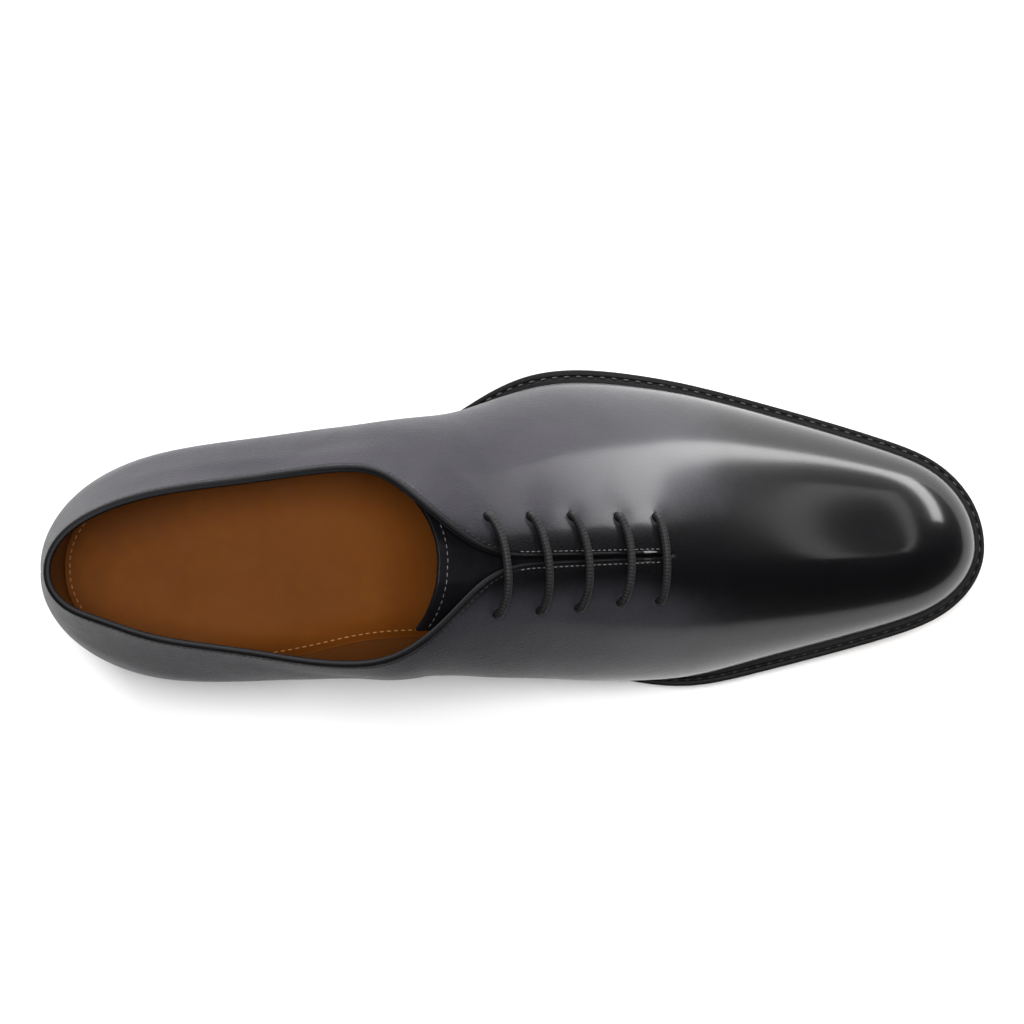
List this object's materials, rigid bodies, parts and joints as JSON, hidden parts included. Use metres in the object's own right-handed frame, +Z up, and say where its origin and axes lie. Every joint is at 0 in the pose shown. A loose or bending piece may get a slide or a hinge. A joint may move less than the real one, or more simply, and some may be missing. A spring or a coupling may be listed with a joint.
{
  "type": "whole cut oxford shoe",
  "caption": "Left whole cut oxford dress shoe in burnished black calf, with closed lacing, a stitched welt, a leather sole and a stacked heel.",
  "frame": {"origin": "centre of the bounding box, at the floor under the sole", "axes": "+X toward the toe, +Y toward the lateral side, +Z up"},
  "size_m": [0.2992, 0.1042, 0.0951],
  "materials": {
    "upper_calf": "hand burnished, polished to a mirror at the toe",
    "tongue_calf": "satin",
    "sock_leather": "smooth, semi matt",
    "insole_leather": "matt",
    "welt_leather": "waxed edge",
    "sole_leather": "waxed edge, matt underside",
    "heel_leather": "waxed edge",
    "top_piece_rubber": "matt",
    "lace_cotton": "waxed braid"
  },
  "bodies": {
    "root": {"upper": "upper_calf", "tongue": "tongue_calf", "sock_liner": "sock_leather", "insole": "insole_leather", "welt": "welt_leather", "outsole": "sole_leather", "heel_lift_1": "heel_leather", "heel_lift_2": "heel_leather", "heel_lift_3": "heel_leather", "top_piece": "top_piece_rubber", "lace": "lace_cotton"}
  },
  "joints": []
}
